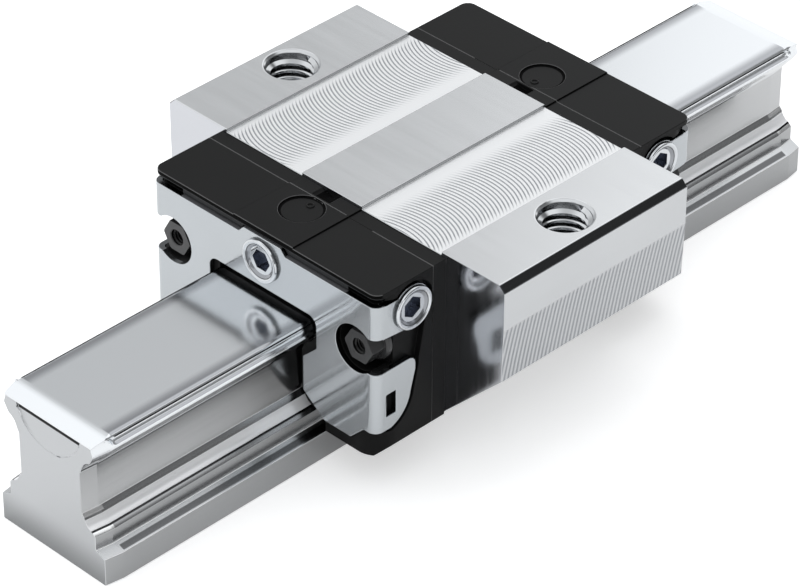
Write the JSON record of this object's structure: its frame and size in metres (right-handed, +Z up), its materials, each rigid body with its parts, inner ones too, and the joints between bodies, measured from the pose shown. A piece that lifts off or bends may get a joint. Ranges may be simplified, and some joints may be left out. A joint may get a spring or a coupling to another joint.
{
  "type": "linear ball runner block",
  "caption": "Flanged recirculating-ball runner block on a short profiled guide rail, with plastic end caps and steel end plates.",
  "frame": {"origin": "middle of the guide rail's bottom face, with the runner block at the middle of the rail", "axes": "+X along the rail, +Y across it to the left, +Z up out of the block's mounting face"},
  "size_m": [0.15, 0.07, 0.036],
  "materials": {
    "ball_steel": "polished",
    "body_steel": "ground top, milled bands, drawn flange sides",
    "cap_plastic": "satin moulded",
    "cover_strip_steel": "bright rolled",
    "guide_plastic": "satin moulded",
    "plate_steel": "satin stainless sheet",
    "plug_steel": "bright zinc",
    "rail_steel": "ground and polished",
    "retainer_plastic": "satin moulded",
    "screw_steel": "black oxide",
    "seal_rubber": "smooth",
    "track_steel": "hardened and ground"
  },
  "bodies": {
    "rail": {"guide_rail": "rail_steel", "rail_cover_strip": "cover_strip_steel"},
    "runner_block": {"ball_circuit_lower_left": "ball_steel", "ball_circuit_lower_right": "ball_steel", "ball_circuit_upper_left": "ball_steel", "ball_circuit_upper_right": "ball_steel", "cap_screws_front": "screw_steel", "cap_screws_rear": "screw_steel", "end_cap_front": "cap_plastic", "end_cap_rear": "cap_plastic", "end_plate_front": "plate_steel", "end_plate_rear": "plate_steel", "end_seal_front": "seal_rubber", "end_seal_rear": "seal_rubber", "lower_retainer_left": "retainer_plastic", "lower_retainer_right": "retainer_plastic", "lube_plug_front": "plug_steel", "lube_plug_rear": "plug_steel", "middle_retainer_left": "retainer_plastic", "middle_retainer_right": "retainer_plastic", "return_guide_front": "guide_plastic", "return_guide_rear": "guide_plastic", "return_tube_lower_left": "retainer_plastic", "return_tube_lower_right": "retainer_plastic", "return_tube_upper_left": "retainer_plastic", "return_tube_upper_right": "retainer_plastic", "side_lube_plugs_front": "plug_steel", "side_lube_plugs_rear": "plug_steel", "side_seal_left": "seal_rubber", "side_seal_right": "seal_rubber", "steel_body": "body_steel", "track_insert_left": "track_steel", "track_insert_right": "track_steel", "upper_retainer_left": "retainer_plastic", "upper_retainer_right": "retainer_plastic"}
  },
  "joints": [
    {"name": "carriage_slide", "type": "slide", "parent": "rail", "child": "runner_block", "axis": [1, 0, 0], "range_m": [-0.041, 0.041]}
  ]
}
